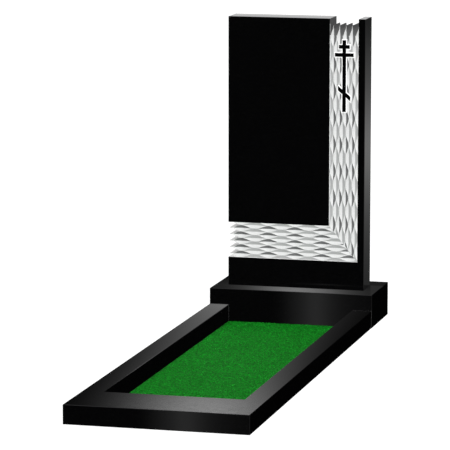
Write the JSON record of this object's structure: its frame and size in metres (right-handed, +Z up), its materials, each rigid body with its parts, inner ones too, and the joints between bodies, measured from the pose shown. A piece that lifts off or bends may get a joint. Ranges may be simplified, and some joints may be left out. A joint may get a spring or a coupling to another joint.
{
  "type": "headstone",
  "caption": "Polished stone stele with a carved wavy band and a raised cross, standing on a plinth at the head of a kerbed, turfed grave bed.",
  "frame": {"origin": "middle of the ground under the whole set, at the bottom centre of its box", "axes": "+Z up, +Y from the foot of the bed to the back of the plinth, +X to the right when facing the carved face"},
  "size_m": [0.612, 2.09, 1.122],
  "materials": {
    "granite": "polished black gabbro-type granite; carved band left matt and pale grey",
    "turf": "short green turf mat with fine upright blades"
  },
  "bodies": {
    "root": {"stele": "granite", "plinth": "granite", "kerb_left": "granite", "kerb_right": "granite", "kerb_front": "granite", "turf_mat": "turf"}
  },
  "joints": []
}
